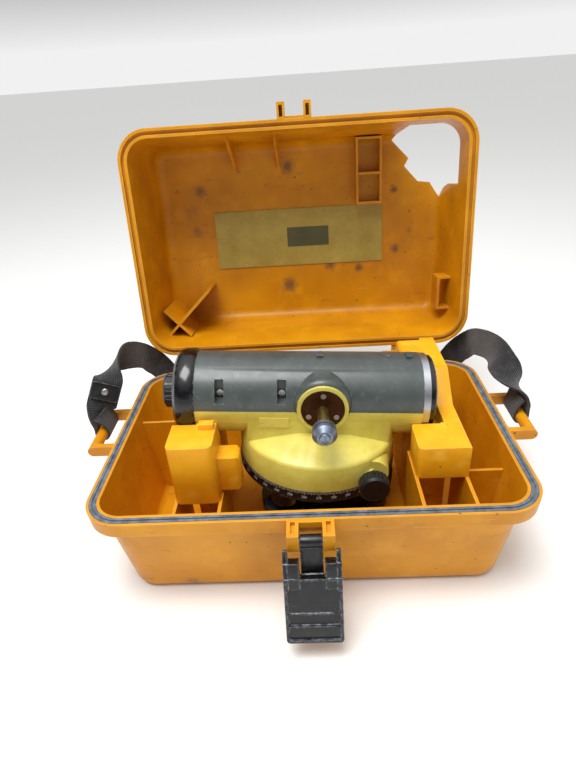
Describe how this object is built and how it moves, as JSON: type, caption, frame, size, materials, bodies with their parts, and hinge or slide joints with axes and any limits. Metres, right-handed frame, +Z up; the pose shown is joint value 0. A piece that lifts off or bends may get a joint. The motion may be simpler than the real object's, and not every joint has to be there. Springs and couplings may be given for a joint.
{
  "type": "automatic surveying level in carry case",
  "caption": "Automatic optical level with telescope, focus and tangent drives, circle and tribrach, stored in a hinged moulded carry case with latch and strap.",
  "frame": {"origin": "centre of the case's flat resting face", "axes": "+Z up, +X along the telescope towards its objective, +Y from the latch to the hinge"},
  "size_m": [0.3716, 0.3647, 0.3113],
  "materials": {
    "orange_plastic": "moulded polyethylene, scuffed",
    "yellow_plastic": "moulded",
    "grey_rubber": "extruded cord",
    "steel": "turned",
    "black_webbing": "woven",
    "black_plastic": "moulded, worn",
    "label_film": "faded sheet",
    "label_window": "tinted",
    "yellow_enamel": "baked enamel",
    "olive_enamel": "baked enamel",
    "black_enamel": "gloss enamel",
    "satin_aluminium": "turned",
    "optical_glass": "polished",
    "brass": "turned",
    "bronze": "dark patina"
  },
  "bodies": {
    "case": {"case_tub": "orange_plastic", "case_partitions": "orange_plastic", "rim_gasket": "grey_rubber", "eyepiece_cradle": "yellow_plastic", "objective_cradle": "yellow_plastic", "base_seat": "orange_plastic", "hinge_pins": "steel", "latch_pin": "steel", "strap_lug_left": "orange_plastic", "strap_lug_right": "orange_plastic", "shoulder_strap": "black_webbing", "strap_buckle": "black_plastic", "buckle_rivet": "steel"},
    "lid": {"lid_shell": "orange_plastic", "lid_pocket": "orange_plastic", "instruction_plate": "label_film", "plate_window": "label_window"},
    "latch_link": {"latch_link": "black_plastic", "latch_link_pin": "steel"},
    "latch_lever": {"latch_lever": "black_plastic"},
    "level": {"main_housing": "yellow_enamel", "telescope_cover": "olive_enamel", "cover_screws": "steel", "eyepiece_end_ring": "black_enamel", "objective_ring": "satin_aluminium", "objective_hood": "black_enamel", "objective_lens": "optical_glass", "reticle": "optical_glass", "aiming_sights": "olive_enamel", "sight_screw": "steel", "focus_flange": "bronze", "flange_screws": "steel", "focus_guide": "satin_aluminium", "compensator_frame": "black_enamel", "compensator_pin": "steel", "damper_cup": "black_enamel", "spindle": "steel", "blank_plate": "label_film", "bubble_case": "black_enamel", "bubble_vial": "optical_glass"},
    "eyepiece": {"eyepiece_knob": "black_enamel", "eyepiece_lenses": "optical_glass"},
    "focus_drive": {"focus_shaft": "brass", "focus_collar": "satin_aluminium", "focus_end_screw": "steel"},
    "focus_slide": {"focus_cell": "satin_aluminium", "focus_lens": "optical_glass"},
    "compensator": {"compensator_pendulum": "satin_aluminium", "compensator_prism": "optical_glass"},
    "tangent_drive": {"tangent_shaft": "steel", "tangent_knobs": "black_plastic"},
    "base": {"tribrach": "black_enamel", "axis_bush": "brass", "clutch_wheel": "satin_aluminium", "base_plate": "black_enamel"},
    "circle": {"horizontal_circle": "black_enamel"},
    "foot_1": {"foot_screw_1": "black_plastic"},
    "foot_2": {"foot_screw_2": "black_plastic"},
    "foot_3": {"foot_screw_3": "black_plastic"}
  },
  "joints": [
    {"name": "lid_hinge", "type": "hinge", "parent": "case", "child": "lid", "pos_m": [0, 0.1131, 0.0862], "axis": [-1, 0, 0], "range_deg": [-98.92, 0]},
    {"name": "latch_swing", "type": "hinge", "parent": "case", "child": "latch_link", "pos_m": [0, -0.1124, 0.0781], "axis": [1, 0, 0], "range_deg": [-163, 0]},
    {"name": "lever_fold", "type": "hinge", "parent": "latch_link", "child": "latch_lever", "pos_m": [0, -0.11971, 0.05419], "axis": [1, 0, 0], "range_deg": [0, 171.15]},
    {"name": "level_lift", "type": "slide", "parent": "case", "child": "level", "axis": [0, 0, 1], "range_m": [0, 0.2]},
    {"name": "eyepiece_turn", "type": "hinge", "parent": "level", "child": "eyepiece", "pos_m": [-0.10226, 0, 0.12613], "axis": [0.9981, 0, -0.0619], "range_deg": [-150, 150]},
    {"name": "focus_turn", "type": "hinge", "parent": "level", "child": "focus_drive", "pos_m": [0.01187, -0.03, 0.12456], "axis": [0, 1, 0], "range_deg": [-170, 170]},
    {"name": "focus_travel", "type": "slide", "parent": "level", "child": "focus_slide", "axis": [0.9981, 0, -0.0619], "range_m": [-0.012, 0.012]},
    {"name": "compensator_swing", "type": "hinge", "parent": "level", "child": "compensator", "pos_m": [-0.04144, 0, 0.13738], "axis": [0, 1, 0], "range_deg": [-1, 1]},
    {"name": "tangent_turn", "type": "hinge", "parent": "level", "child": "tangent_drive", "pos_m": [0.0463, 0, 0.07403], "axis": [0, 1, 0], "continuous": true},
    {"name": "base_turn", "type": "hinge", "parent": "level", "child": "base", "pos_m": [0.006, 0, 0.0623], "axis": [0.0619, 0, 0.9981], "continuous": true},
    {"name": "circle_turn", "type": "hinge", "parent": "base", "child": "circle", "pos_m": [0.00625, 0, 0.06629], "axis": [0.0619, 0, 0.9981], "continuous": true},
    {"name": "foot_screw_turn_1", "type": "hinge", "parent": "base", "child": "foot_1", "pos_m": [0.05436, 0, 0.03425], "axis": [0.0619, 0, 0.9981], "range_deg": [-900, 900]},
    {"name": "foot_screw_turn_2", "type": "hinge", "parent": "base", "child": "foot_2", "pos_m": [-0.0205, 0.0433, 0.0389], "axis": [0.0619, 0, 0.9981], "range_deg": [-900, 900]},
    {"name": "foot_screw_turn_3", "type": "hinge", "parent": "base", "child": "foot_3", "pos_m": [-0.0205, -0.0433, 0.0389], "axis": [0.0619, 0, 0.9981], "range_deg": [-900, 900]}
  ],
  "couplings": [
    {"joint": "lever_fold", "follows": "latch_swing", "ratio": -1.05},
    {"joint": "focus_travel", "follows": "focus_turn", "m_per_rad": 0.004}
  ]
}
